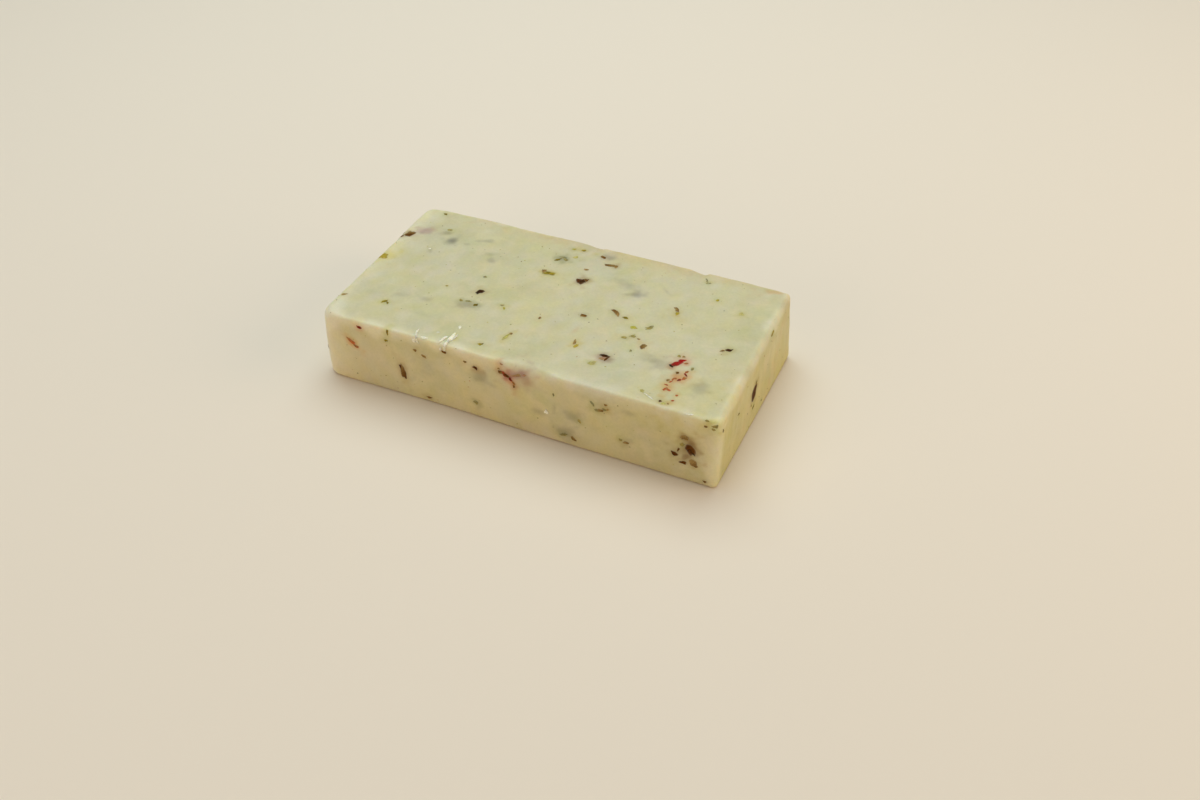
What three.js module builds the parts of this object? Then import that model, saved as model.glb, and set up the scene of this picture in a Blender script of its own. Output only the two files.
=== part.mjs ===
// A block of pepper jack: a pressed, cut bar of pale cheese, already shortened from its right-hand end.
// Millimetres, +Z up. The origin is the middle of the underside, +X runs to the freshly cut end and +Y to the
// back.
//
// The whole block is one closed skin. A box is ruled with grid lines that crowd towards its edges, and every
// grid point is carried onto the real form in three steps: round the upright corners in plan, round the upper
// and lower rims in profile, then skew, hollow and wear the result.
import * as THREE from "three";
import { mergeVertices } from "three/addons/utils/BufferGeometryUtils.js";

// Driving dimensions, in millimetres
const LENGTH = 127.2;
const DEPTH = 66.2;
const HEIGHT = 23.5;
const HALF = { x: LENGTH / 2, y: DEPTH / 2 };

// Radius of each upright corner, seen from above: the old end is worn round, the cut end is crisp
const CORNER = { frontLeft: 4.8, backLeft: 3.7, frontRight: 1.5, backRight: 1.4 };

// Radius of the rims where the sides meet the top. It swells over both ends and where the front is rubbed.
const TOP_RIM = 1.1;
const TOP_RIM_OLD_END = { radius: 2.6, reach: 9 };
const TOP_RIM_CUT_END = { radius: 1.9, reach: 4.5 };
const TOP_RIM_RUBBED = { radius: 3.7, reach: 12, at: 6.2 };

// Radius of the rims where the sides meet the underside. It swells at the old end and at the back of the cut.
const BOTTOM_RIM = 0.9;
const BOTTOM_RIM_OLD_END = { radius: 1.2, reach: 9 };
const BOTTOM_RIM_CUT_CORNER = { radius: 1.7, reach: 12 };

// No rim is wider than this, and well away from the corners there is room for one that wide
const WIDEST_RIM = { radius: 4, reach: 8 };

// How far the block departs from square
const OLD_END_SKEW = { depth: 1.1, power: 2 }; // the old end runs out at the back and in at the front
const OLD_END_BULGE = { depth: 0.5, power: 8 }; // swells at half height
const OLD_END_FOOT = { depth: 1.6, power: 8 }; // and stands out at the foot of its front corner
const CUT_LEAN = { depth: 0.9, power: 8 }; // the cut leans at the back: in at the top, out at the foot
const BACK_TAPER = { depth: 0.85, power: 3 }; // the back draws in towards the cut end
const FRONT_HOLLOW = { depth: 0.45, reach: 36, at: -24.8 };
const TOP_DISH = 0.18;

// Slivers pulled off the back upper rim: each gets deeper along the block, then stops short
const BACK_PEELS = [
  { from: -5, to: 0.7, depth: 0.45 },
  { from: 29.5, to: 35.7, depth: 0.75 },
];
const PEEL_STOP = 1.2; // length of the step at a sliver's end
const PEEL_FADE = 3.4; // a sliver's hollow fades out over this distance from the rim
const PEEL_DROP = 0.5; // the rim comes down by this share of what it moves in

// Grid: lines crowd into a band beside each edge and run evenly between the bands
const BAND = 4.4;
const BAND_LINES = 5;
const BAND_CROWDING = 1.6;
const MIDDLE_LINES = { x: 36, y: 11, z: 3 };
const SAME_POINT = 1e-3; // grid points closer than this are one corner of the skin

const CHEESE = { color: 0xe6dfae, roughness: 0.42, metalness: 0 };

const { clamp, lerp, smoothstep } = THREE.MathUtils;
const smooth = (t) => smoothstep(t, 0, 1);
const hump = (distance, reach) => smooth(1 - Math.abs(distance) / reach); // 1 at no distance, 0 at the reach
const arch = (t) => 4 * t * (1 - t); // 0 at both ends, 1 halfway
const swell = (radius, to, share) => radius + Math.max(to.radius - radius, 0) * share;

// Grid line positions from low to high, crowded towards both ends
function rule(low, high, middleLines) {
  const band = Array.from({ length: BAND_LINES }, (_, i) => BAND * (i / BAND_LINES) ** BAND_CROWDING);
  const even = Array.from({ length: middleLines + 1 }, (_, i) => i / middleLines);
  const middle = even.map((t) => lerp(low + BAND, high - BAND, t));
  return [...band.map((d) => low + d), ...middle, ...band.map((d) => high - d).reverse()];
}

// Radius of the outline near a corner. Along the straight sides it opens out, which leaves their shape as it is
// and gives a wide rim its room.
function planRadius(x, y) {
  const left = y < 0 ? CORNER.frontLeft : CORNER.backLeft;
  const right = y < 0 ? CORNER.frontRight : CORNER.backRight;
  const corner = x < 0 ? left : right;
  const fromCorner = Math.hypot(HALF.x - Math.abs(x), HALF.y - Math.abs(y));
  return swell(corner, WIDEST_RIM, smooth((fromCorner - 2 * corner) / WIDEST_RIM.reach));
}

function topRim(x, y) {
  const oldEnd = swell(TOP_RIM, TOP_RIM_OLD_END, hump(x + HALF.x, TOP_RIM_OLD_END.reach));
  const bothEnds = swell(oldEnd, TOP_RIM_CUT_END, hump(x - HALF.x, TOP_RIM_CUT_END.reach));
  const rubbed = y < 0 ? hump(x - TOP_RIM_RUBBED.at, TOP_RIM_RUBBED.reach) : 0;
  return swell(bothEnds, TOP_RIM_RUBBED, rubbed);
}

function bottomRim(x, y) {
  const oldEnd = swell(BOTTOM_RIM, BOTTOM_RIM_OLD_END, hump(x + HALF.x, BOTTOM_RIM_OLD_END.reach));
  const toCutCorner = Math.hypot(HALF.x - x, HALF.y - y);
  return swell(oldEnd, BOTTOM_RIM_CUT_CORNER, hump(toCutCorner, BOTTOM_RIM_CUT_CORNER.reach));
}

// Draws a point of a square in onto the quarter disc: a and b are its distances from the disc's centre along
// the sides, and the longer of them becomes its distance along the ray.
function roundOff(a, b) {
  const reach = Math.hypot(a, b);
  if (reach === 0) return [0, 0];
  const scale = Math.max(a, b) / reach;
  return [a * scale, b * scale];
}

// Carries one point of the box's surface onto the rounded block
function roundedPoint(p) {
  const radius = planRadius(p.x, p.y);
  const core = {
    x: clamp(p.x, -HALF.x + radius, HALF.x - radius),
    y: clamp(p.y, -HALF.y + radius, HALF.y - radius),
  };
  const [dx, dy] = roundOff(Math.abs(p.x - core.x), Math.abs(p.y - core.y));
  const level = Math.hypot(dx, dy);

  // In profile: how far the point lies inside the outline, and how far below the top or above the underside
  const upper = p.z > HEIGHT / 2;
  const rim = Math.min(upper ? topRim(p.x, p.y) : bottomRim(p.x, p.y), radius);
  const inset = radius - level;
  const drop = upper ? HEIGHT - p.z : p.z;
  const [outward, upward] = roundOff(Math.max(rim - inset, 0), Math.max(rim - drop, 0));
  const newInset = inset < rim ? rim - outward : inset;
  const newDrop = drop < rim ? rim - upward : drop;

  const shift = level > 0 ? (radius - newInset) / level : 0;
  return new THREE.Vector3(
    core.x + Math.sign(p.x) * dx * shift,
    core.y + Math.sign(p.y) * dy * shift,
    upper ? HEIGHT - newDrop : newDrop,
  );
}

// How far the back upper rim has moved in at one place along the block
function peeled(x) {
  const growing = (peel) => smooth((x - peel.from) / (peel.to - peel.from));
  const stopping = (peel) => smooth((peel.to + PEEL_STOP - x) / PEEL_STOP);
  return BACK_PEELS.reduce((sum, peel) => sum + peel.depth * growing(peel) * stopping(peel), 0);
}

// Skews and foots the old end, leans the cut end, tapers the back, hollows the front, dishes the top and peels
// the back upper rim. The underside stays flat.
function settle(p) {
  const towardsOldEnd = clamp((HALF.x - p.x) / LENGTH, 0, 1);
  const towardsCutEnd = 1 - towardsOldEnd;
  const across = p.y / HALF.y;
  const up = p.z / HEIGHT;
  const skew = OLD_END_SKEW.depth * across * towardsOldEnd ** OLD_END_SKEW.power;
  const bulge = OLD_END_BULGE.depth * arch(up) * towardsOldEnd ** OLD_END_BULGE.power;
  const foot = OLD_END_FOOT.depth * (1 - up) * 0.5 * (1 - across) * towardsOldEnd ** OLD_END_FOOT.power;
  const lean = CUT_LEAN.depth * (1 - 2 * up) * 0.5 * (1 + across) * towardsCutEnd ** CUT_LEAN.power;
  const taper = BACK_TAPER.depth * Math.max(across, 0) * towardsCutEnd ** BACK_TAPER.power;
  const hollow = FRONT_HOLLOW.depth * hump(p.x - FRONT_HOLLOW.at, FRONT_HOLLOW.reach) * Math.max(-across, 0);
  const dish = TOP_DISH * up * (1 - (p.x / HALF.x) ** 2) * (1 - across ** 2);
  const peel = peeled(p.x) * hump(Math.hypot(HALF.y - p.y, HEIGHT - p.z), PEEL_FADE);
  const x = p.x + lean - skew - bulge - foot;
  const y = p.y + hollow - taper - peel;
  return new THREE.Vector3(x, y, p.z - dish - PEEL_DROP * peel * up);
}

// One face of the box as a grid of carried points, two triangles to a cell. The two ruled directions are given
// in the order that turns the face outwards.
function facePoints(across, along, place) {
  const positions = [];
  const put = (u, v) => positions.push(...settle(roundedPoint(place(u, v))).toArray());
  for (let i = 0; i + 1 < across.length; i++) {
    for (let j = 0; j + 1 < along.length; j++) {
      const [u0, u1, v0, v1] = [across[i], across[i + 1], along[j], along[j + 1]];
      put(u0, v0);
      put(u1, v0);
      put(u1, v1);
      put(u0, v0);
      put(u1, v1);
      put(u0, v1);
    }
  }
  return positions;
}

// All six faces, joined into one skin and brought over the origin
function blockGeometry() {
  const xs = rule(-HALF.x, HALF.x, MIDDLE_LINES.x);
  const ys = rule(-HALF.y, HALF.y, MIDDLE_LINES.y);
  const zs = rule(0, HEIGHT, MIDDLE_LINES.z);
  const faces = [
    facePoints(xs, ys, (x, y) => ({ x, y, z: HEIGHT })),
    facePoints(ys, xs, (y, x) => ({ x, y, z: 0 })),
    facePoints(xs, zs, (x, z) => ({ x, y: -HALF.y, z })),
    facePoints(zs, xs, (z, x) => ({ x, y: HALF.y, z })),
    facePoints(ys, zs, (y, z) => ({ x: HALF.x, y, z })),
    facePoints(zs, ys, (z, y) => ({ x: -HALF.x, y, z })),
  ];
  const skin = new THREE.BufferGeometry();
  skin.setAttribute("position", new THREE.Float32BufferAttribute(faces.flat(), 3));
  const closed = mergeVertices(skin, SAME_POINT);
  closed.computeBoundingBox();
  const middle = closed.boundingBox.getCenter(new THREE.Vector3());
  closed.translate(-middle.x, -middle.y, -closed.boundingBox.min.z);
  closed.computeVertexNormals();
  return closed;
}

const block = new THREE.Mesh(blockGeometry(), new THREE.MeshStandardMaterial(CHEESE));
block.name = "cheese_block";

const pepperJack = new THREE.Group();
pepperJack.add(block);

export default pepperJack;
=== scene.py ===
"""A block of pepper jack: a pressed bar of pale cheese with diced chilli through it, cut at its right-hand
end. Lengths are in millimetres unless a name or a property says otherwise.

The skin is a box ruled with grid lines, carried onto the real form in the same steps as the CAD solid that
it stands for, and given the relief of a cut face of cheese. Each chip of chilli is an outline laid on that
skin.
"""

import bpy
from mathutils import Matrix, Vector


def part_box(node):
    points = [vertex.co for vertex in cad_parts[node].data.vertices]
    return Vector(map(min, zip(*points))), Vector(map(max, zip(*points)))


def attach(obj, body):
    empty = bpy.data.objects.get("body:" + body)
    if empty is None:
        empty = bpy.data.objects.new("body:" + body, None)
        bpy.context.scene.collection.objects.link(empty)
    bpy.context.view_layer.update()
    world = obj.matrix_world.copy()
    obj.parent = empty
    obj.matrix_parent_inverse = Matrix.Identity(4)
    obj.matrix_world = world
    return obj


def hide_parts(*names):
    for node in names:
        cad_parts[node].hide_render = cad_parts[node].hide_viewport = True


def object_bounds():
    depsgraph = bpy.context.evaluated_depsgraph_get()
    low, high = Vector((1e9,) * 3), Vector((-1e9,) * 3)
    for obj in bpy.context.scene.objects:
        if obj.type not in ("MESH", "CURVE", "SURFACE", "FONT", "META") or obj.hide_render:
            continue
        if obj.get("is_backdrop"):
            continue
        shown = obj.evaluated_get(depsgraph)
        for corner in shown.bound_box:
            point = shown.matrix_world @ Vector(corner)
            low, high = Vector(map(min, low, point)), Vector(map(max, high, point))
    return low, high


bl_info = {
    "name": "Pepper jack block",
    "version": (1, 0, 0),
    "blender": (4, 5, 0),
    "location": "View3D > Sidebar > Pepper jack",
    "description": "Builds a cut bar of cheese with diced chilli, and a plain studio round it",
    "category": "Object",
}

from functools import cache

import bpy
import numpy as np
from bpy.props import FloatProperty, FloatVectorProperty, IntProperty, PointerProperty
from mathutils import Matrix

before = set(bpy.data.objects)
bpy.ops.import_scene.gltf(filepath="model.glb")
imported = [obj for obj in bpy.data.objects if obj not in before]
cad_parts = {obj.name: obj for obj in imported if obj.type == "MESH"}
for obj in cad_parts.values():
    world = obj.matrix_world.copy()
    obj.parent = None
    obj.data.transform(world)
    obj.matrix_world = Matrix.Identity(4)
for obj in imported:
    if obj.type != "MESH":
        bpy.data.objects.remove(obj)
CAD_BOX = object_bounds()

MM = 0.001
NODE = "cheese_block"
BODY = "root"
COLOUR_ATTRIBUTE = "paint"
FULL_TURN = 2.0 * np.pi

# The box that the form is carried from, before the worn end's skew and foot lengthen the block
LENGTH = 127.2
DEPTH = 66.2
HEIGHT = 23.5
LOW = np.array([-LENGTH / 2, -DEPTH / 2, 0.0])
HIGH = np.array([LENGTH / 2, DEPTH / 2, HEIGHT])
SPANS = HIGH - LOW

# The form, as on the CAD solid. Corner radii in plan: at the old end and at the cut end
FRONT_CORNERS = (4.8, 1.5)
BACK_CORNERS = (3.7, 1.4)
# Rims: their radius, and what they swell to. A swelling's radius, its reach, and where along x it is widest
TOP_RIM = 1.1
TOP_SWELLINGS = ((2.6, 9.0, LOW[0]), (1.9, 4.5, HIGH[0]))
FRONT_RUBBED = (3.7, 12.0, 6.2)
BOTTOM_RIM = 0.9
BOTTOM_SWELLING = (1.2, 9.0, LOW[0])
BOTTOM_CUT_CORNER = (1.7, 12.0)
# Along the straight sides the outline opens out to this radius, from so many corner radii off the corner
WIDEST_RIM = {"radius": 4.0, "reach": 8.0, "clear": 2.0}
# Departures from square: depth, and the power of the share of the length by which it grows towards the end
OLD_END_SKEW, OLD_END_BULGE, OLD_END_FOOT = (1.1, 2), (0.5, 8), (1.6, 8)
CUT_LEAN, BACK_TAPER = (0.9, 8), (0.85, 3)
FRONT_HOLLOW = {"depth": 0.45, "reach": 36.0, "at": -24.8}
TOP_DISH = 0.18
# Slivers peeled off the back upper rim: start, end, depth. Each deepens up to its end and stops in a short
# step past it, fades within a distance of the edge, and lowers the top by a share of its depth.
BACK_PEELS = ((-5.0, 0.7, 0.45), (29.5, 35.7, 0.75))
PEEL_STOP = 1.2
PEEL_FADE = 3.4
PEEL_DROP = 0.5

# Grid of the skin: lines crowd into a band beside each edge, along a power curve
BAND = 4.4
BAND_LINES = 12
BAND_CROWDING = 1.6

# Faces of the box: the axes that u and v run along, the axis that the face looks along, and which way
FACES = {
    "top": (0, 1, 2, 1),
    "underside": (0, 1, 2, -1),
    "front": (0, 2, 1, -1),
    "back": (0, 2, 1, 1),
    "cut_end": (1, 2, 0, 1),
    "old_end": (1, 2, 0, -1),
}
UNSEEN_FACES = ("underside", "back", "old_end")
MIRRORED_FACES = UNSEEN_FACES  # those whose u, v and outward direction make a left-handed set
NORMAL_STEP = 0.05  # half the distance that a normal's differences are taken over

# Relief of the skin. Each ripple: shortest and longest wave, height, seed
RIPPLES = (
    (18.0, 42.0, 0.05, 11),
    (3.0, 8.0, 0.022, 12),
)
FLAT_UNDERSIDE = 1.2  # relief fades out over this height above the surface that the block rests on
# The knife's upright lines: their ripple, and how far in from the cut they reach
KNIFE_DRAGS = (0.9, 5.0, 0.022, 13)
KNIFE_DRAGS_DEPTH = 1.5
SPOT_POWER = 2.5  # how steeply a mark or a stain ends
# Hollows and ridges: face, u, v, length, width, turn in degrees, height
MARKS = (
    ("front", 55.5, 11.4, 4.0, 5.4, 15.0, -1.0),
    ("front", 54.0, 14.8, 4.0, 2.6, -10.0, -0.3),
    ("front", 53.4, 9.0, 4.6, 2.4, 5.0, -0.22),
    ("top", 41.8, -29.5, 6.4, 1.0, -27.0, -0.16),
    ("top", 37.4, 28.4, 4.0, 0.9, -55.0, -0.24),
    ("top", -49.9, 9.1, 4.4, 1.4, -50.0, -0.12),
    ("top", -24.0, -11.9, 7.0, 4.0, 8.0, -0.14),
    ("top", -25.8, -31.1, 12.0, 2.2, -3.0, -0.14),
    ("top", 1.8, 12.2, 4.0, 3.4, 30.0, -0.14),
    ("top", -23.6, -4.7, 3.2, 2.6, 50.0, -0.10),
    ("top", 24.0, -19.6, 3.6, 2.6, 0.0, -0.14),
    ("top", 44.2, -12.6, 5.8, 2.4, 61.0, -0.10),
    ("top", -60.9, 14.7, 4.6, 2.8, 42.0, -0.16),
    ("front", 0.2, 19.2, 7.0, 2.4, -16.0, -0.16),
    ("cut_end", -2.9, 11.9, 5.6, 2.6, 55.0, -0.14),
)

# Tones of chilli: kind, colour, the tone that it shades into across a chip as skin does into flesh, the
# stain that it bleeds into the cheese, and what it is
TONES = {
    "olive": ("green_chilli", "#6E6018", "leaf", "green", "Pickled green chilli flesh"),
    "moss": ("green_chilli", "#A49552", "sage", "green", "Green flesh under a film of cheese"),
    "leaf": ("green_chilli", "#A8962C", "olive", "yellow", "Thin green flesh, lit through"),
    "mustard": ("green_chilli", "#BBA440", "leaf", "yellow", "Ripe yellow flesh"),
    "lime": ("green_chilli", "#B3AF4C", "leaf", "green", "Pale yellow-green flesh"),
    "straw": ("green_chilli", "#BFB574", "lime", "yellow", "Pale flesh under a film of cheese"),
    "sage": ("green_chilli", "#88865E", "moss", "green", "Grey-green flesh under a film of cheese"),
    "brown": ("dark_chilli_skin", "#653F0C", "tan", "umber", "Browned skin"),
    "tan": ("dark_chilli_skin", "#A08650", "brown", "warm", "Browned skin under a film of cheese"),
    "bark": ("dark_chilli_skin", "#522B0A", "brown", "umber", "Dark red-brown skin"),
    "black": ("dark_chilli_skin", "#2C1D05", "bark", "umber", "Skin seen edge on, and seeds"),
    "red": ("red_chilli", "#AC0C04", "maroon", "pink", "Ripe red flesh"),
    "rust": ("red_chilli", "#B4562A", "tan", "orange", "Thin red flesh, lit through"),
    "maroon": ("red_chilli", "#762418", "rust", "pink", "Ripe red skin"),
    "rose": ("red_chilli", "#A67C66", "tan", "mauve", "Red skin under a film of cheese"),
}

# Each kind's material, roughness and its spread, width and height of its fibres, and subsurface weight. Real
# fibres are a few tenths of a millimetre wide, and are drawn wider so that they show.
FINISHES = {
    # Pickled green chilli flesh, diced: soft, wet, part see-through, with the fibres of the fruit's wall
    "green_chilli": ("pickled_green_chilli", 0.44, 0.08, 0.6, 0.05, 0.2),
    # Browned chilli skin: a tough, wrinkled film that light doesn't pass
    "dark_chilli_skin": ("browned_chilli_skin", 0.62, 0.10, 0.5, 0.05, 0.0),
    # Ripe red chilli, diced: firm, wet and bright
    "red_chilli": ("ripe_red_chilli", 0.40, 0.08, 0.6, 0.05, 0.2),
    # Cheese smeared off by the knife: dry, matt and paler than the block, because it is thin and full of
    # air. The pale pieces that are painted glints share it
    "cheese": ("smeared_cheese", 0.58, 0.08, 0.8, 0.06, 0.3),
}

# Chips that the photograph's side shows: place along u and v, size along u and v, turn in degrees, tone
CHIPS = {
    "top": (
        (-56.3, 30.3, 1.8, 1.3, -20, "olive"), (-61.0, 15.0, 5.0, 3.8, 42, "brown"),
        (-60.8, 14.8, 3.4, 2.2, 42, "bark"), (-62.9, 13.2, 1.8, 2.2, 20, "brown"),
        (-49.9, 22.1, 2.0, 1.2, 25, "moss"), (-26.0, 2.9, 1.4, 1.1, 0, "sage"),
        (-34.3, -6.2, 1.1, 0.9, 0, "leaf"), (-61.4, 0.4, 4.6, 3.6, 50, "mustard"),
        (-9.8, 20.6, 3.2, 2.0, 20, "olive"), (-8.8, 22.6, 3.4, 1.6, 12, "sage"),
        (-7.5, 21.6, 2.2, 1.5, -24, "moss"), (-10.9, 13.2, 2.0, 2.3, 30, "tan"),
        (-8.7, 12.4, 5.0, 1.9, 12, "leaf"), (-9.4, 12.9, 2.4, 0.9, 10, "olive"),
        (-7.7, 28.0, 1.6, 1.0, 10, "lime"), (-4.5, 28.7, 1.8, 1.2, 30, "leaf"),
        (-5.2, 24.0, 1.5, 2.1, -30, "straw"), (0.9, 18.9, 1.8, 1.2, 10, "tan"),
        (-23.6, -4.7, 3.5, 2.8, 50, "black"), (-26.6, -11.0, 1.7, 1.3, -30, "moss"),
        (-24.3, -10.6, 3.0, 1.1, 8, "moss"), (-21.4, -11.3, 1.5, 1.9, -60, "olive"),
        (-47.2, -20.8, 2.8, 1.4, 40, "leaf"), (-46.0, -21.3, 1.6, 0.9, -50, "olive"),
        (-60.5, -22.9, 3.0, 1.4, 10, "tan"), (-14.0, -8.4, 1.4, 0.8, 20, "sage"),
        (-12.9, -9.6, 1.9, 0.9, -50, "lime"), (-0.9, -9.6, 1.0, 1.5, -10, "tan"),
        (-5.5, -21.5, 4.6, 1.3, 80, "straw"), (-5.1, -19.8, 1.2, 1.5, 0, "tan"),
        (-10.6, -27.8, 2.0, 1.2, 20, "olive"), (2.8, 27.4, 2.4, 1.6, -35, "brown"),
        (7.0, 24.1, 5.0, 1.5, 8, "tan"), (8.7, 24.1, 1.8, 2.0, 10, "brown"),
        (1.9, 12.2, 4.2, 3.7, 30, "bark"), (2.4, 12.5, 2.8, 2.4, 40, "black"),
        (3.2, 13.5, 2.6, 2.2, 30, "brown"), (43.7, 19.5, 1.3, 1.6, 0, "lime"),
        (52.4, 15.6, 2.0, 2.4, 0, "straw"), (34.3, 10.2, 3.2, 1.4, -54, "tan"),
        (35.2, 8.6, 1.6, 2.2, 10, "mustard"), (18.6, 1.7, 4.6, 1.6, -40, "brown"),
        (22.1, 0.5, 2.3, 1.4, -10, "leaf"), (30.3, -1.0, 3.3, 1.5, 56, "moss"),
        (10.4, -3.4, 2.5, 1.8, -10, "brown"), (26.1, -2.9, 2.5, 2.0, -20, "lime"),
        (27.5, -6.9, 2.3, 1.6, 10, "moss"), (25.4, -8.4, 2.0, 1.5, 0, "moss"),
        (29.6, -7.4, 1.1, 0.8, 0, "tan"), (32.1, -10.3, 2.2, 3.1, 0, "tan"),
        (29.6, -13.4, 0.9, 1.2, 0, "sage"), (13.5, -16.2, 1.1, 3.4, 8, "tan"),
        (14.6, -17.6, 1.3, 2.3, -8, "mustard"), (23.8, -18.4, 3.9, 1.6, 5, "black"),
        (24.9, -19.6, 3.2, 0.9, 75, "bark"), (23.8, -19.7, 2.6, 2.0, 20, "rose"),
        (22.0, -22.9, 2.8, 2.1, 20, "straw"), (54.9, -2.1, 2.9, 2.0, 30, "black"),
        (53.4, -3.1, 2.2, 0.9, 35, "tan"), (43.6, -13.6, 4.4, 2.2, 56, "red"),
        (44.7, -11.9, 3.8, 1.8, 54, "red"), (42.5, -15.1, 2.1, 0.9, -33, "black"),
        (43.2, -14.4, 1.8, 1.2, 56, "maroon"), (43.0, -10.2, 1.2, 1.1, 0, "moss"),
        (44.3, -10.0, 1.2, 1.1, 30, "tan"), (46.0, -12.5, 1.6, 0.9, 37, "rust"),
        (48.4, -14.2, 1.1, 1.6, 0, "moss"), (45.3, -17.4, 1.1, 1.3, 24, "brown"),
        (47.5, -16.2, 1.7, 1.0, 65, "rust"), (47.8, -17.5, 2.1, 0.8, -48, "maroon"),
        (48.0, -18.9, 2.4, 1.4, 61, "rust"), (46.9, -20.0, 1.8, 1.1, 38, "maroon"),
        (45.8, -19.8, 1.4, 0.9, -19, "rust"), (45.3, -20.3, 1.8, 0.8, 77, "rust"),
        (45.0, -21.6, 1.5, 0.8, 55, "rust"), (44.1, -21.4, 1.2, 1.1, 24, "brown"),
        (44.7, -25.3, 2.1, 0.9, 73, "rust"), (45.6, -25.0, 2.2, 0.9, -24, "rust"),
        (44.4, -23.4, 1.4, 0.7, 0, "rust"), (45.4, -30.4, 1.2, 1.0, 0, "bark"),
        (46.7, -31.0, 2.0, 1.1, 20, "straw"), (47.8, -30.6, 1.1, 0.7, -20, "tan"),
        (48.5, -29.0, 1.2, 0.8, 30, "rust"), (48.6, -26.4, 1.0, 0.9, 30, "rust"),
        (39.4, -28.4, 1.8, 1.3, -30, "straw"), (37.2, 28.2, 3.2, 0.6, -60, "sage"),
        (38.2, 27.1, 1.9, 0.6, 20, "sage"),
    ),
    "front": (
        (-48.4, 21.6, 2.2, 1.3, -15, "maroon"), (-52.2, 15.4, 4.6, 1.5, -36, "rust"),
        (-51.0, 14.1, 2.6, 1.1, -25, "rust"), (-38.8, 22.6, 0.9, 2.9, 0, "olive"),
        (-39.8, 19.2, 1.9, 1.2, 10, "olive"), (-30.0, 18.6, 1.6, 1.2, 0, "tan"),
        (-27.0, 17.2, 2.3, 1.2, -25, "tan"), (-20.0, 21.1, 2.3, 1.2, -8, "brown"),
        (-35.0, 8.8, 7.4, 2.6, -82, "brown"), (-35.6, 10.4, 2.6, 1.6, -80, "bark"),
        (-9.8, 18.6, 2.3, 1.4, -35, "bark"), (-13.2, 19.8, 1.4, 1.0, 0, "tan"),
        (-1.7, 19.8, 2.0, 1.5, -10, "brown"), (-0.2, 19.5, 3.6, 1.8, -32, "maroon"),
        (0.1, 19.3, 2.6, 1.2, -32, "bark"), (1.4, 18.2, 2.8, 1.3, -47, "maroon"),
        (2.2, 17.2, 2.1, 1.1, -53, "rust"), (2.4, 16.2, 1.0, 1.6, 0, "brown"),
        (3.2, 20.2, 4.6, 1.3, 21, "rose"), (5.8, 21.2, 1.6, 1.0, 18, "rose"),
        (-2.1, 21.0, 1.4, 0.8, 18, "tan"), (-1.4, 22.9, 1.4, 0.8, -34, "rose"),
        (-10.8, 5.6, 1.9, 1.5, -30, "sage"), (-27.3, 1.8, 2.4, 1.1, 0, "brown"),
        (14.9, 17.2, 0.8, 1.6, 0, "sage"), (22.6, 10.3, 1.9, 1.2, -40, "moss"),
        (30.8, 19.1, 1.3, 0.9, 0, "tan"), (29.3, 16.7, 2.3, 1.3, 20, "tan"),
        (30.4, 17.4, 1.9, 1.2, -30, "moss"), (28.2, 16.2, 2.0, 1.1, -10, "moss"),
        (26.8, 18.0, 2.7, 1.0, -58, "sage"), (31.3, 17.6, 1.3, 0.9, 30, "tan"),
        (17.6, 3.6, 3.2, 1.4, 24, "moss"), (20.7, 3.1, 2.5, 1.4, -35, "tan"),
        (36.9, 7.5, 2.4, 1.2, 10, "tan"), (35.2, 8.0, 1.2, 1.1, 0, "moss"),
        # The bark and black chips at u 55 fill the pocket's hollow: dark skin, and painted shade of the
        # hollow
        (60.2, 1.7, 1.5, 1.1, 0, "brown"), (55.3, 11.1, 3.4, 4.8, 16, "bark"),
        (55.5, 10.7, 2.6, 3.4, 16, "black"), (53.6, 15.2, 2.9, 2.2, 6, "tan"),
        (54.2, 14.9, 2.0, 1.4, -10, "brown"), (53.0, 12.5, 1.8, 2.3, 0, "moss"),
        (51.0, 8.8, 2.6, 1.6, -24, "bark"), (52.1, 10.4, 0.8, 1.8, -13, "brown"),
        (53.8, 6.5, 3.2, 1.6, 7, "bark"), (56.6, 7.3, 2.9, 2.8, -35, "tan"),
        (57.4, 6.5, 1.6, 1.3, -32, "tan"), (59.6, 23.6, 1.3, 1.1, 20, "moss"),
        (59.5, 21.6, 1.3, 0.9, 13, "tan"), (62.1, 22.6, 2.6, 1.4, 28, "moss"),
        (61.6, 21.2, 1.3, 1.0, 11, "moss"),
    ),
    "cut_end": (
        (-31.0, 19.9, 1.0, 1.9, 30, "olive"), (-2.9, 11.9, 6.6, 4.4, 55, "bark"),
        (-3.1, 11.6, 5.8, 3.4, 55, "black"), (-1.5, 14.2, 1.8, 1.4, 50, "olive"),
        (12.9, 21.6, 3.6, 1.4, 8, "olive"), (-17.1, 14.6, 2.2, 0.9, -20, "olive"),
        (-3.2, 6.5, 2.2, 1.3, 35, "olive"), (-5.0, 8.2, 1.1, 0.9, 0, "leaf"),
        (4.4, 3.2, 1.3, 1.0, 0, "sage"),
    ),
}

# Colour that a stain multiplies the cheese by, where it is strongest
STAIN_COLOURS = {
    "shadow": (0.47, 0.47, 0.51),
    "mauve": (0.77, 0.60, 0.70),
    "green": (0.78, 0.84, 0.52),
    "yellow": (0.95, 0.87, 0.48),
    "orange": (1.00, 0.72, 0.48),
    "pink": (1.00, 0.72, 0.68),
    "warm": (0.96, 0.82, 0.62),
    # Umber is a bled stain, and also painted shade round the front's pocket
    "umber": (0.58, 0.45, 0.30),
}
# How a stain's outline wanders: the ripple, and the least and most that it adds
STAIN_FUZZ = (1.8, 5.0, 0.30, 21)
STAIN_FUZZ_LIMITS = (-0.6, 1.2)
STAIN_REACH = 1.6  # lengths from its middle past which a stain is too weak to show
# The stain that a chip bleeds: how much longer and wider than the chip, and its strength
BLEED_REACH = 1.3
BLEED_STRENGTH = 0.36

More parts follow.
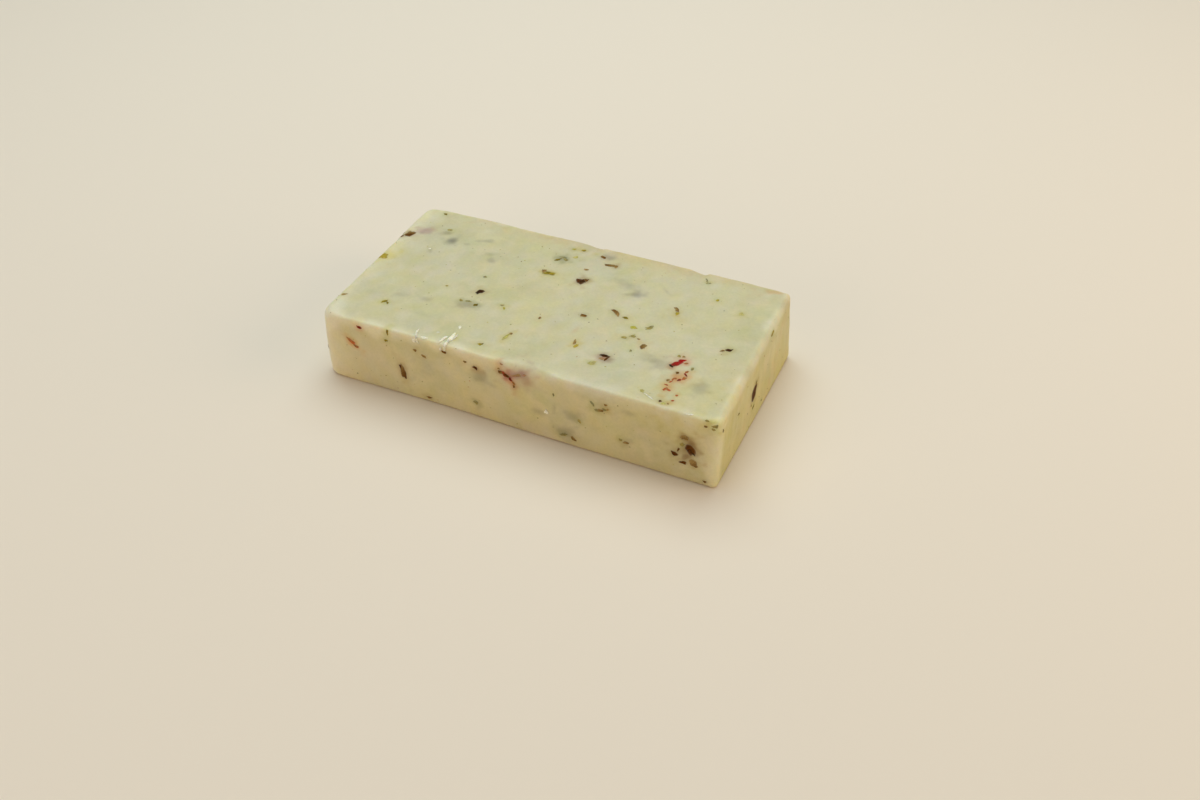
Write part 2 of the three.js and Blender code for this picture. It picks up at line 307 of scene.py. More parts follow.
# Painted shade and warm bounced light on the sides: what they multiply the cheese by, and how far in from
# a side and under the top it is reached
SIDE_TINT = (1.00, 0.96, 0.86)
CUT_TINT = (1.00, 0.965, 0.70)
SIDE_TINT_WIDTH = 2.4
SIDE_TINT_FADE = 4.2
# Uneven ripening: what a yellower and a rosier patch multiply the cheese by, each with the ripple that
# spreads it, and the share that the ripple swings about
PATCHES = (
    ((1.00, 0.99, 0.80), (4.0, 40.0, 0.25, 23)),
    ((1.00, 0.965, 0.97), (4.0, 40.0, 0.25, 24)),
)
PATCH_SHARE = 0.5
# Width and strength of the bands of painted highlight in from each side and round each upright corner. By
# the lean a band reaches a little further down the sides than in over the top, its border wanders by the
# ripple, and the front's weakens towards the cut end.
RUBBED_RIMS = {"old": (8.5, 1.0), "front": (4.4, 1.0), "cut": (3.3, 1.0), "back": (1.8, 0.7)}
RUBBED_CORNERS = {
    ("cut", "front"): (4.6, 1.0),
    ("old", "front"): (13.0, 0.9),
    ("cut", "back"): (1.8, 0.6),
    ("old", "back"): (3.0, 0.6),
}
RUB_LEAN = 0.92
RUB_WANDER = (5.0, 20.0, 0.55, 22)
CORNER_WANDER = 0.5
FRONT_RUB = {"least": 0.50, "start": -12.0, "reach": 22.0}
RUBBED_CLEAN = 0.6  # share of the painted side shade that the painted rim highlight takes off

# Chilli sunk under a film of cheese, what it bled, and painted shade in the front's pocket, by face and
# stain: place, size, turn, strength
STAINS = {
    ("top", "mauve"): (
        (-57.0, 18.8, 7.0, 3.6, 34, 1.0), (23.7, -19.8, 3.6, 3.0, 0, 0.60),
    ),
    ("top", "shadow"): (
        (-49.9, 20.0, 3.6, 2.2, 20, 0.55), (-45.9, 16.8, 4.2, 3.1, 30, 1.0),
        (-45.6, 16.9, 7.4, 5.0, 30, 0.2), (-35.4, 21.3, 4.6, 1.8, 20, 0.48),
        (-40.4, 17.0, 2.4, 1.4, 0, 0.35), (-30.8, 14.9, 3.6, 1.8, 10, 0.30),
        (-28.6, 11.7, 3.0, 2.2, -40, 0.45), (-49.6, 9.2, 3.2, 1.4, -50, 0.36),
        (-8.6, 21.7, 5.4, 4.2, 10, 0.62), (-23.9, -12.0, 7.2, 4.0, 6, 0.66),
        (-44.8, -16.0, 4.6, 2.6, 20, 0.28), (-35.8, -15.0, 3.4, 2.2, 0, 0.34),
        (-34.0, -22.0, 7.0, 1.8, 0, 0.18), (5.0, 28.2, 4.8, 2.6, 0, 0.66), (20.5, 12.6, 4.0, 3.6, 0, 0.80),
        (16.2, 16.0, 8.0, 3.8, -20, 0.32), (28.0, 18.0, 4.4, 1.0, -40, 0.34),
        (39.6, -15.6, 5.4, 4.8, 0, 0.50), (35.7, -14.0, 5.0, 4.2, 0, 0.26),
        (53.2, -21.2, 4.8, 5.4, 0, 0.52), (-53.0, -18.5, 7.0, 2.6, 20, 0.14),
        (-10.8, 1.5, 8.0, 4.4, -20, 0.11), (5.2, -9.5, 7.0, 5.0, 0, 0.10), (45.2, 2.5, 9.0, 5.4, 30, 0.10),
    ),
    ("top", "yellow"): (
        (-59.8, 1.2, 5.6, 5.0, 40, 0.75), (-60.5, 7.0, 5.0, 9.0, 0, 0.30), (-47.5, 5.0, 5.0, 3.0, 40, 0.18),
        (-5.6, 28.5, 6.0, 2.6, 10, 0.32), (-3.2, 24.6, 4.0, 3.0, 10, 0.25),
        (-9.2, 12.9, 5.4, 3.0, 12, 0.50), (0.4, 28.4, 3.0, 1.8, 0, 0.40), (-46.6, -20.9, 4.6, 3.2, 0, 0.42),
        (-41.8, -23.0, 3.4, 2.6, 0, 0.24), (-13.4, -9.6, 3.2, 3.4, 0, 0.34),
        (-18.3, -29.0, 2.6, 2.6, 0, 0.35), (34.8, 8.6, 3.8, 5.0, 10, 0.32),
        (13.9, -16.8, 3.4, 4.2, 10, 0.55), (-5.4, -21.5, 5.4, 2.6, 80, 0.50),
        (48.0, -22.6, 7.0, 4.4, 40, 0.30), (46.8, -30.4, 5.6, 3.0, 0, 0.60),
        (54.0, -26.0, 20.0, 13.0, 20, 0.20), (59.8, -12.0, 7.0, 34.0, 0, 0.15),
        (54.6, -2.4, 4.4, 3.0, 30, 0.24), (-42.8, 26.5, 7.0, 2.8, 0, 0.16),
        (-24.0, 20.0, 8.0, 4.0, 15, 0.10),
    ),
    ("top", "warm"): (
        (-60.0, -8.0, 5.0, 9.0, 0, 0.16), (-23.2, -4.3, 4.4, 3.8, 0, 0.30), (2.0, 12.6, 5.4, 5.0, 0, 0.34),
    ),
    ("top", "green"): (
        (-61.0, -27.0, 5.0, 6.0, 0, 0.14), (-8.6, 12.4, 5.0, 2.2, 12, 0.40),
        (7.5, 13.4, 5.0, 2.4, -20, 0.16), (-2.4, 9.6, 6.0, 1.8, 60, 0.18), (52.4, 15.6, 3.2, 3.2, 0, 0.40),
        (22.2, -22.9, 3.8, 2.8, 0, 0.42), (19.6, -25.6, 7.0, 4.0, 30, 0.14),
    ),
    ("top", "orange"): (
        (-10.8, -27.6, 4.4, 2.6, 0, 0.22), (36.5, 5.6, 6.0, 4.0, 0, 0.10), (58.6, 30.7, 5.0, 2.2, 0, 0.60),
        (12.0, 33.0, 100.0, 6.4, 0, 0.34), (26.3, -7.6, 6.0, 3.4, 20, 0.22),
        (11.2, -11.0, 1.4, 3.4, 0, 0.34), (46.8, -18.8, 5.6, 6.0, 30, 0.78),
        (44.9, -23.8, 4.2, 6.4, 10, 0.66), (32.1, -10.3, 4.0, 4.6, 0, 0.22),
    ),
    ("top", "umber"): (
        (23.9, -19.6, 3.0, 2.4, 0, 0.28),
    ),
    ("top", "pink"): (
        (44.4, -12.6, 7.4, 4.4, 62, 0.60),
    ),
    ("front", "pink"): (
        (-48.2, 21.4, 3.6, 2.6, 0, 0.55), (-0.4, 19.4, 5.6, 3.6, -32, 0.60), (2.0, 16.9, 3.8, 4.4, 0, 0.55),
    ),
    ("front", "orange"): (
        (-52.0, 15.0, 6.0, 3.2, -36, 0.62), (-9.6, 18.3, 4.0, 3.2, 0, 0.45),
        (-2.2, 22.4, 3.2, 3.2, 0, 0.55), (3.2, 14.0, 4.0, 4.0, 0, 0.22),
    ),
    ("front", "yellow"): (
        (-38.8, 22.6, 2.8, 3.6, 0, 0.40), (60.8, 22.2, 6.0, 3.0, 0, 0.36),
        (-12.0, 21.2, 26.0, 3.2, 0, 0.20),
    ),
    ("front", "warm"): (
        (-35.2, 8.6, 8.0, 3.8, -84, 0.35),
    ),
    ("front", "shadow"): (
        (-25.0, 14.0, 7.0, 5.0, -20, 0.12), (-8.4, 15.8, 6.0, 4.6, -20, 0.62),
        (-10.8, 5.8, 3.2, 3.0, 0, 0.30), (9.7, 9.5, 4.4, 2.2, 0, 0.52), (20.7, 11.5, 5.6, 4.0, -20, 0.56),
        (15.0, 12.6, 1.2, 2.8, 0, 0.36), (37.7, 18.5, 3.6, 1.8, 0, 0.40), (18.6, 4.4, 5.6, 5.0, 0, 0.62),
        (36.4, 7.8, 4.0, 3.2, 0, 0.26), (-20.8, 10.0, 10.0, 7.0, 0, 0.10), (43.2, 12.0, 10.0, 9.0, 0, 0.12),
        (9.0, 4.0, 10.0, 5.0, 0, 0.10),
    ),
    ("front", "mauve"): (
        (3.4, 20.3, 7.6, 2.8, 20, 0.85), (3.0, 19.2, 9.6, 6.4, 0, 0.42), (7.4, 19.4, 5.0, 3.8, -20, 0.40),
    ),
    ("front", "umber"): (
        # All but the first lie round the front's pocket: painted shade of its hollow, with brown bled from
        # its chips
        (29.8, 17.5, 5.6, 4.4, 0, 0.28), (54.4, 12.2, 8.0, 8.0, 0, 0.32), (55.8, 12.8, 4.4, 5.6, 12, 0.85),
        (56.2, 7.4, 5.0, 3.4, 0, 0.26), (54.0, 15.2, 4.6, 3.6, -10, 0.50),
    ),
    ("cut_end", "warm"): (
        (-2.8, 12.0, 6.4, 4.4, 55, 0.45), (-30.8, 19.8, 2.6, 3.0, 0, 0.4), (8.0, 10.0, 4.0, 16.0, 0, 0.12),
    ),
    ("cut_end", "green"): (
        (21.0, 21.0, 6.0, 3.0, 0, 0.40), (12.9, 21.4, 5.0, 2.4, 8, 0.40), (-3.6, 7.0, 3.4, 2.4, 35, 0.36),
        (-24.0, 12.0, 3.0, 14.0, 0, 0.10),
    ),
    ("cut_end", "shadow"): (
        (-18.5, 9.0, 7.0, 6.0, 0, 0.12),
    ),
    ("cut_end", "yellow"): (
        (-20.0, 22.2, 15.0, 4.0, 0, 0.35),
    ),
}

# Shavings of cheese stuck to the skin, and pale pieces as painted glints: place, size, turn, height
SHAVINGS = {
    "top": (
        (-29.8, -30.7, 5.4, 1.1, -73, 0.34), (-29.0, -33.0, 4.0, 0.9, -74, 0.30),
        (-19.5, -29.0, 6.6, 1.8, 89, 0.45), (-19.6, -32.2, 6.2, 1.3, -89, 0.40),
        (-18.8, -28.2, 3.4, 1.0, 84, 0.36), (-21.5, -30.4, 4.4, 1.1, 78, 0.32),
        (-26.9, -31.8, 2.7, 1.4, 11, 0.16), (-24.5, -28.0, 1.3, 0.9, 20, 0.10),
        # Painted glints, laid as pale pieces: (-50.2, 9.9) in the hollow beside it, and (54.6, -32.4) on the
        # front rim
        (-20.0, -23.1, 1.1, 1.9, 20, 0.12), (-50.2, 9.9, 1.1, 0.6, 20, 0.08),
        (41.6, -29.6, 5.0, 0.5, -26, 0.07), (54.6, -32.4, 2.6, 0.6, 12, 0.08),
    ),
    "front": (
        # The pale piece at (12.4, 10.2) is a painted glint
        (12.4, 10.2, 1.6, 1.8, 0, 0.24), (-20.9, 21.9, 1.2, 1.9, -10, 0.30),
        (-29.8, 22.2, 1.1, 1.8, -10, 0.26),
    ),
    "back": (
        (-4.8, 22.0, 5.0, 1.1, 8, 0.25), (32.2, 21.6, 4.0, 1.0, -12, 0.22),
    ),
}

# What is scattered over the unseen faces and how far it keeps from their edges, and the flecks on every
# face: the share of each tone or stain
CHIP_SHARES = {
    "brown": 0.18, "olive": 0.20, "leaf": 0.16, "lime": 0.14, "sage": 0.11,
    "bark": 0.07, "black": 0.06, "red": 0.03, "rust": 0.03, "maroon": 0.02,
}
STAIN_SHARES = {"shadow": 0.6, "green": 0.15, "yellow": 0.13, "mauve": 0.05, "orange": 0.07}
CHIP_MARGIN = 1.2
STAIN_MARGIN = 1.5
SPECK_MARGIN = 0.6
STRIP_MIDDLE = (0.1, 0.9)  # part of its strip that a scattered chip or stain lies in
# Their lengths and their widths as shares of that. A few chips are longer, by up to so much: the share of it
# is a random number to a power
CHIP_LENGTHS, CHIP_WIDTHS = (1.2, 2.4), (0.32, 0.85)
LONG_CHIPS = {"longer": 3.6, "power": 4}
STAIN_LENGTHS, STAIN_WIDTHS = (1.5, 5.5), (0.4, 0.9)
STAIN_STRENGTHS = (0.12, 0.5)
SPECK_LENGTHS, SPECK_WIDTHS = (0.25, 0.75), (0.5, 1.0)
TURNS = (-90.0, 90.0)
SEEDS = {"chips": 31, "stains": 32, "chilli": 33, "shavings": 34}
SPECK_SHARES = {"olive": 0.2, "leaf": 0.2, "lime": 0.2, "sage": 0.22, "brown": 0.12, "rust": 0.06}

# A chip's section, from its middle out and back underneath: share of the outline, share of the height, and
# how much the colour of the cheese shows through there
CHIP_SECTION = (
    (0.34, 1.0, 0.0), (0.62, 0.92, 0.0), (0.82, 0.66, 0.10), (0.94, 0.22, 0.34), (1.0, -0.8, 0.65),
)
SPECK_SECTION = ((0.55, 0.9, 0.30), (1.0, -0.8, 0.65))
CHIP_SPOKES = 26
SPECK_SPOKES = 8
ROOT_DEPTH = 2.4  # depth of a chip's hidden underside, as a share of its height
CHIP_HEIGHTS = (0.7, 1.3)  # shares of the height that chips stand proud
CHIP_UNEVENNESS = 0.12
# How a chip bends: by up to this much of its width where the square along it is past the level, and more when
# it is slim
CHIP_BEND = {"most": 0.35, "level": 0.4, "slimmest": 2.0}
# A chip's outline: how many sides, how far each turns off an even share, how far out each lies, how sharp
# the corners are, and the ripple round it
CHIP_SIDES = (4, 8)
SIDE_TURN = 0.32
SIDE_DISTANCES = (0.7, 1.1)
CORNER_SHARPNESS = 9.0
RAGGED_TURNS = range(3, 8)
RAGGEDNESS = 0.08
# A chip's colours: most of the second tone, how far their border shifts, grain, and how much chips differ
SECOND_SHARE = 0.75
BORDER_SHIFT = (-0.4, 0.25)
TONE_GRAIN = 0.09
TONE_SPREAD = (0.88, 1.12)

# Soft square lights: side in metres, colour, place in metres. All look at the origin.
LIGHTS = {
    "overhead": (0.9, (0.893, 0.995, 1.0), (-0.16, 0.30, 0.85)),
    "side": (0.5, (1.0, 0.72, 0.475), (0.75, 0.15, 0.35)),
    "fill": (0.6, (1.0, 0.722, 0.564), (-0.28, -0.75, 0.18)),
}
# Light from all round, and the camera
AIR = {"Color": (1.0, 0.99, 0.97, 1.0), "Strength": 0.22}
SENSOR_WIDTH = 36.0
CAMERA_CLIP = 0.01
CAMERA_TARGET = (19.00, -11.27, 0.0)  # where the picture's middle meets the floor, in the box's millimetres


def linear(hex_colour):
    """Linear colour of an sRGB hex value: a power curve of 2.4, and a straight line near black."""
    channels = np.array([int(hex_colour[i : i + 2], 16) for i in (1, 3, 5)]) / 255
    curve = np.where(channels <= 0.04045, channels / 12.92, ((channels + 0.055) / 1.055) ** 2.4)
    return tuple(float(channel) for channel in curve)


def colour_property(name, description, hex_colour):
    return FloatVectorProperty(
        name=name, description=description, default=linear(hex_colour), subtype="COLOR", min=0.0, max=1.0
    )


class BlockSettings(bpy.types.PropertyGroup):
    """Sizes and colours of the cheese itself"""

    grid_step: FloatProperty(
        name="Grid step",
        description="Distance between the skin's grid lines away from its edges",
        default=0.56 * MM,
        unit="LENGTH",
    )
    cheese_colour: colour_property("Cheese", "The body of the cheese", "#D1CEAD")
    cloud_colour: colour_property("Cloud", "Greener clouds where chilli lies under the surface", "#C1C39E")
    cream_colour: colour_property("Cream", "Paler, warmer curds", "#DAD4B6")
    # Colour of the painted highlight along the rims, mixed in by the paint's fourth channel
    rim_colour: colour_property("Rim", "Rubbed, greasy rims", "#ECE9D1")
    # Also the colour of the pale pieces that are painted glints
    shaving_colour: colour_property("Shaving", "Smeared shavings, thin and full of air", "#F5F1D8")


class ChilliSettings(bpy.types.PropertyGroup):
    """Sizes and colours of the diced chilli"""

    proud: FloatProperty(
        name="Stands proud",
        description="Height of a chip's middle above the cheese",
        default=0.07 * MM,
        unit="LENGTH",
    )
    chips_per_face: IntProperty(
        name="Chips out of sight",
        description="Chips scattered over the underside. The other unseen faces get as many for their area",
        default=52,
    )
    specks: IntProperty(name="Specks", description="Fine flecks scattered over the whole skin", default=420)


ChilliSettings.__annotations__.update({
    tone: colour_property(tone.capitalize(), words, colour)
    for tone, (_, colour, _, _, words) in TONES.items()
})


class StudioSettings(bpy.types.PropertyGroup):
    """Floor, lights and camera"""

    floor_colour: colour_property("Floor", "Warm white paint", "#F0E6D6")
    azimuth: FloatProperty(name="Azimuth", description="Camera's turn to the right", default=24.80)
    elevation: FloatProperty(name="Elevation", description="Camera's angle above the floor", default=40.129)
    roll: FloatProperty(name="Roll", description="Camera's lean", default=-0.598)
    distance: FloatProperty(name="Distance", description="To the target", default=327.27 * MM, unit="LENGTH")
    lens: FloatProperty(name="Lens", description="Focal length on a 36 mm sensor", default=32.778)
    overhead_power: FloatProperty(name="Overhead", description="Soft light above", default=6.1, unit="POWER")
    side_power: FloatProperty(name="Side", description="Soft light at the cut", default=1.98, unit="POWER")
    fill_power: FloatProperty(name="Fill", description="Low light from the front", default=2.0, unit="POWER")


def smooth(t):
    """Smoothstep: 3t^2 - 2t^3 between 0 and 1."""
    t = np.clip(t, 0.0, 1.0)
    return t * t * (3.0 - 2.0 * t)


def hump(distance, reach):
    """1 at no distance, 0 at the reach."""
    return smooth(1.0 - np.abs(distance) / reach)


def swell(radius, wider, share):
    """The radius, opened out towards a wider one by a share from 0 to 1."""
    return radius + np.maximum(wider - radius, 0.0) * share


def plan_radius(x, y):
    """Radius of the outline near a corner. Along the straight sides it opens out, which leaves their shape
    as it is and gives a wide rim its room."""
    old, cut = (np.where(y < 0, front, back) for front, back in zip(FRONT_CORNERS, BACK_CORNERS))
    corner = np.where(x < 0, old, cut)
    from_corner = np.hypot(HIGH[0] - np.abs(x), HIGH[1] - np.abs(y))
    opened = smooth((from_corner - WIDEST_RIM["clear"] * corner) / WIDEST_RIM["reach"])
    return swell(corner, WIDEST_RIM["radius"], opened)


def top_rim(x, y):
    """Radius where a side meets the top: it swells over both ends and where the front is worn."""
    rim = TOP_RIM
    for radius, reach, at in TOP_SWELLINGS:
        rim = swell(rim, radius, hump(x - at, reach))
    radius, reach, at = FRONT_RUBBED
    return swell(rim, radius, np.where(y < 0, hump(x - at, reach), 0.0))


def bottom_rim(x, y):
    """Radius where a side meets the underside: it swells at the old end and at the back of the cut."""
    radius, reach, at = BOTTOM_SWELLING
    rim = swell(BOTTOM_RIM, radius, hump(x - at, reach))
    radius, reach = BOTTOM_CUT_CORNER
    return swell(rim, radius, hump(np.hypot(HIGH[0] - x, HIGH[1] - y), reach))


def round_off(a, b):
    """Draws a square in onto the quarter disc: the longer of a and b becomes the distance along their
    ray."""
    reach = np.hypot(a, b)
    scale = np.maximum(a, b) / np.where(reach > 0, reach, 1.0)
    return a * scale, b * scale


def rounded(points):
    """Points of the box's surface on the rounded block: the outline first, then the upper and lower
    rims."""
    x, y, z = np.moveaxis(points, -1, 0)
    radius = plan_radius(x, y)
    core_x = np.clip(x, LOW[0] + radius, HIGH[0] - radius)
    core_y = np.clip(y, LOW[1] + radius, HIGH[1] - radius)
    dx, dy = round_off(np.abs(x - core_x), np.abs(y - core_y))
    level = np.hypot(dx, dy)

    # In profile: how far the point lies inside the outline, and how far below the top or above the
    # underside
    upper = z > HEIGHT / 2
    rim = np.minimum(np.where(upper, top_rim(x, y), bottom_rim(x, y)), radius)
    inset = radius - level
    drop = np.where(upper, HEIGHT - z, z)
    outward, upward = round_off(np.maximum(rim - inset, 0.0), np.maximum(rim - drop, 0.0))
    inset = np.where(inset < rim, rim - outward, inset)
    drop = np.where(drop < rim, rim - upward, drop)

    shift = np.where(level > 0, (radius - inset) / np.where(level > 0, level, 1.0), 0.0)
    new_x = core_x + np.sign(x) * dx * shift
    new_y = core_y + np.sign(y) * dy * shift
    return np.stack([new_x, new_y, np.where(upper, HEIGHT - drop, drop)], axis=-1)


def settling(points):
    """How far each point of the rounded block moves: the old end is skewed, bulged and footed, the cut end
    leaned, the back tapered, the front hollowed, the top dished and the back upper rim peeled. Each is a
    depth times powers of the point's shares of the length, depth and height. The underside stays flat."""
    x, y, z = np.moveaxis(points, -1, 0)
    to_old_end = np.clip((HIGH[0] - x) / LENGTH, 0.0, 1.0)
    to_cut_end = 1.0 - to_old_end
    across = y / HIGH[1]
    up = z / HEIGHT
    skew, bulge, foot = (d * to_old_end**power for d, power in (OLD_END_SKEW, OLD_END_BULGE, OLD_END_FOOT))
    lean, taper = (d * to_cut_end**power for d, power in (CUT_LEAN, BACK_TAPER))
    along = (1.0 - 2.0 * up) * 0.5 * (1.0 + across) * lean - across * skew
    along -= 4.0 * up * (1.0 - up) * bulge + (1.0 - up) * 0.5 * (1.0 - across) * foot
    hollow = FRONT_HOLLOW["depth"] * hump(x - FRONT_HOLLOW["at"], FRONT_HOLLOW["reach"])
    inward = np.maximum(-across, 0.0) * hollow - np.maximum(across, 0.0) * taper
    dish = TOP_DISH * up * (1.0 - (x / HIGH[0]) ** 2) * (1.0 - across**2)
    peel = np.zeros_like(x)
    for start, end, depth in BACK_PEELS:
        peel += depth * smooth((x - start) / (end - start)) * smooth((end + PEEL_STOP - x) / PEEL_STOP)
    peel *= hump(np.hypot(HIGH[1] - y, HEIGHT - z), PEEL_FADE)
    return np.stack([along, inward - peel, -dish - PEEL_DROP * peel * up], axis=-1)


def on_box(face, u, v):
    """Points of the box at unfolded places of a face: past an edge, a place goes on down the next face."""
    first, second, axis, way = FACES[face]
    inside_u = np.clip(u, LOW[first], HIGH[first])
    inside_v = np.clip(v, LOW[second], HIGH[second])
    past = np.abs(u - inside_u) + np.abs(v - inside_v)
    points = np.empty(np.shape(past) + (3,))
    points[..., first] = inside_u
    points[..., second] = inside_v
    points[..., axis] = (HIGH[axis] if way > 0 else LOW[axis]) - way * past
    return points


def carried(face, u, v):
    """Unfolded places of a face on the smooth form: rounded, then settled."""
    points = rounded(on_box(face, u, v))
    return points + settling(points)


def origin_shift(samples=160):
    """How far the form moves so that the box round it lies over the box round the CAD node."""
    places = [np.linspace(LOW[axis], HIGH[axis], samples) for axis in range(3)]
    form = []
    for face, (first, second, axis, way) in FACES.items():
        form.append(carried(face, *np.meshgrid(places[first], places[second])).reshape(-1, 3))
    form = np.concatenate(form)
    node_box = np.array([list(corner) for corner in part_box(NODE)]) / MM
    shift = node_box.mean(axis=0) - 0.5 * (form.min(axis=0) + form.max(axis=0))
    return np.array([shift[0], shift[1], 0.0])


ORIGIN_SHIFT = origin_shift()


def ripple(points, shortest, longest, height, seed, waves=28):
    """Sum of plane waves in random directions, each cos(2 pi (direction . point) / wavelength + phase),
    with wavelengths spread evenly in ratio from shortest to longest. The height is the root mean square."""
    rng = np.random.default_rng(seed)
    directions = rng.normal(size=(waves, 3))
    directions /= np.linalg.norm(directions, axis=1, keepdims=True)
    lengths = shortest * (longest / shortest) ** rng.random(waves)
    phases = rng.uniform(0.0, FULL_TURN, waves)
    angles = points @ (directions * (FULL_TURN / lengths)[:, None]).T + phases
    return height * np.sqrt(2.0 / waves) * np.cos(angles).sum(axis=-1)


def knife_drags(points):
    """Upright lines that the knife drew down the cut end: a ripple of y alone, faded out away from it."""
    across = np.zeros_like(points)
    across[..., 1] = points[..., 1]
    inside = points[..., 0] - HIGH[0] + KNIFE_DRAGS_DEPTH
    return ripple(across, *KNIFE_DRAGS) * smooth(inside / KNIFE_DRAGS_DEPTH)


def frame_at(face, u, v):
    """The smooth form at unfolded places of a face: points, outward normals, and the unit directions of u
    and v. The normal is the cross product of central differences."""
    along_u = carried(face, u + NORMAL_STEP, v) - carried(face, u - NORMAL_STEP, v)
    along_v = carried(face, u, v + NORMAL_STEP) - carried(face, u, v - NORMAL_STEP)
    normal = np.cross(along_u, along_v)
    if face in MIRRORED_FACES:
        normal = -normal
    directions = (d / np.linalg.norm(d, axis=-1, keepdims=True) for d in (normal, along_u, along_v))
    return carried(face, u, v), *directions


@cache
def spot_frame(face, u, v, turn):
    """Middle of a spot on the form, and its unit directions along its length, across it and out of the
    skin."""
    middle, normal, along_u, along_v = frame_at(face, np.array(u), np.array(v))
    angle = np.radians(turn)
    along = along_u * np.cos(angle) + along_v * np.sin(angle)
    along /= np.linalg.norm(along)
    return middle, along, np.cross(normal, along), normal


def spot_weight(points, spot, length, width, fuzz=1.0):
    """exp(-d^2.5), where d is the distance to a spot's middle in half lengths and half widths: 1 in the
    middle, about a third at the outline. Fuzz multiplies d^2, so that the outline wanders."""
    middle, along, across, normal = spot
    offset = points - middle
    a = (offset @ along) / (length / 2)
    b = (offset @ across) / (width / 2)
    c = (offset @ normal) / max(length, width)
    return np.exp(-(((a * a + b * b + c * c) * fuzz) ** (SPOT_POWER / 2)))


def relief(points):
    """Height of the finished skin over the smooth form: ripples, knife lines and single marks."""
    height = sum(ripple(points, *waves) for waves in RIPPLES) + knife_drags(points)
    for face, u, v, length, width, turn, mark_height in MARKS:
        height = height + mark_height * spot_weight(points, spot_frame(face, u, v, turn), length, width)
    return height * smooth(points[..., 2] / FLAT_UNDERSIDE)


def skin(face, u, v, lift=0.0):
    """Points of the finished skin at unfolded places of a face, lifted along the normal."""
    points, normals = frame_at(face, u, v)[:2]
    lift = lift * smooth(points[..., 2] / FLAT_UNDERSIDE)
    return points + normals * (relief(points) + lift)[..., None]


def mesh_piece(name, points, faces, colours, material, slot):
    """A smooth-shaded mesh at the origin: points in the box's millimetres, faces as rows of corners, and a
    colour to a point in the attribute that the materials read."""
    mesh = bpy.data.meshes.new(name)
    mesh.from_pydata(((points + ORIGIN_SHIFT) * MM).tolist(), [], faces.tolist())
    attribute = mesh.color_attributes.new(COLOUR_ATTRIBUTE, "FLOAT_COLOR", "POINT")
    attribute.data.foreach_set("color", colours.astype(np.float32).ravel())
    mesh.shade_smooth()
    mesh.materials.append(material)
    piece = bpy.data.objects.new(name, mesh)
    bpy.context.scene.collection.objects.link(piece)
    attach(piece, BODY)
    return piece


def polar_faces(rings, spokes):
    """Triangles of a closed polar grid: a pole, rings of spokes, and a pole at the far side."""
    spoke = np.arange(spokes)
    after = (spoke + 1) % spokes
    ring = 1 + spokes * np.arange(rings - 1)[:, None]
    near, far = (ring + spoke).ravel(), (ring + after).ravel()
    last = 1 + spokes * (rings - 1)
    return np.concatenate([
        np.stack([np.zeros(spokes, int), 1 + spoke, 1 + after], axis=1),
        np.stack([near, near + spokes, far + spokes], axis=1),
        np.stack([near, far + spokes, far], axis=1),
        np.stack([last + after, last + spoke, np.full(spokes, last + spokes)], axis=1),
    ])


def chip_outline(rng, spokes):
    """Outline of a broken chip within the square from -1 to 1: a polygon with rounded corners, whose radius
    is the inverse of the power mean of max(cos(angle - side), 0) / distance over its sides, times a low
    ripple."""
    angles = np.linspace(0.0, FULL_TURN, spokes, endpoint=False)
    count = rng.integers(*CHIP_SIDES)
    sides = (np.arange(count) + rng.uniform(-SIDE_TURN, SIDE_TURN, count)) * FULL_TURN / count
    sides += rng.uniform(0.0, FULL_TURN)
    distances = rng.uniform(*SIDE_DISTANCES, count)
    facing = np.maximum(np.cos(angles[:, None] - sides), 0.0) / distances
    radius = (facing**CORNER_SHARPNESS).sum(axis=1) ** (-1.0 / CORNER_SHARPNESS)
    for turns in RAGGED_TURNS:
        height = RAGGEDNESS * rng.uniform(-1.0, 1.0)
        radius *= 1.0 + height * np.cos(turns * angles + rng.uniform(0.0, FULL_TURN))
    a, b = radius * np.cos(angles), radius * np.sin(angles)
    return a / np.abs(a).max(), b / np.abs(b).max()


def unsettled(face, u, v):
    """The place on the box that is carried to a wanted place of the face."""
    first, second = FACES[face][:2]
    shift = settling(rounded(on_box(face, np.array(u), np.array(v))))
    return u - shift[first], v - shift[second]


def laid_chip(rng, face, u, v, length, width, turn, height, section, spokes):
    """Points of one chip on the skin, its unit coordinates, and how much cheese shows through at each
    point. The outline is scaled by each ring of the section, bent a little along its length, turned, and
    laid on the skin; an underside closes it out of sight."""
    u, v = unsettled(face, u, v)
    shares, levels, films = np.array(section).T
    outline = chip_outline(rng, spokes)
    a, b = (np.concatenate([[0.0], np.outer(shares, each).ravel(), [0.0]]) for each in outline)
    films = np.concatenate([films[:1], np.repeat(films, spokes), [1.0]])
    levels = np.concatenate([[1.0], np.repeat(levels, spokes), [-ROOT_DEPTH]])
    levels += np.where(levels > 0, rng.normal(0.0, CHIP_UNEVENNESS, levels.shape), 0.0)
    bend = rng.uniform(-CHIP_BEND["most"], CHIP_BEND["most"])
    slimness = min(length / width, CHIP_BEND["slimmest"])
    along = a * length / 2
    across = (b + bend * (a * a - CHIP_BEND["level"]) * slimness) * width / 2
    angle = np.radians(turn)
    places_u = u + along * np.cos(angle) - across * np.sin(angle)
    places_v = v + along * np.sin(angle) + across * np.cos(angle)
    return skin(face, places_u, places_v, levels * height), a, b, films


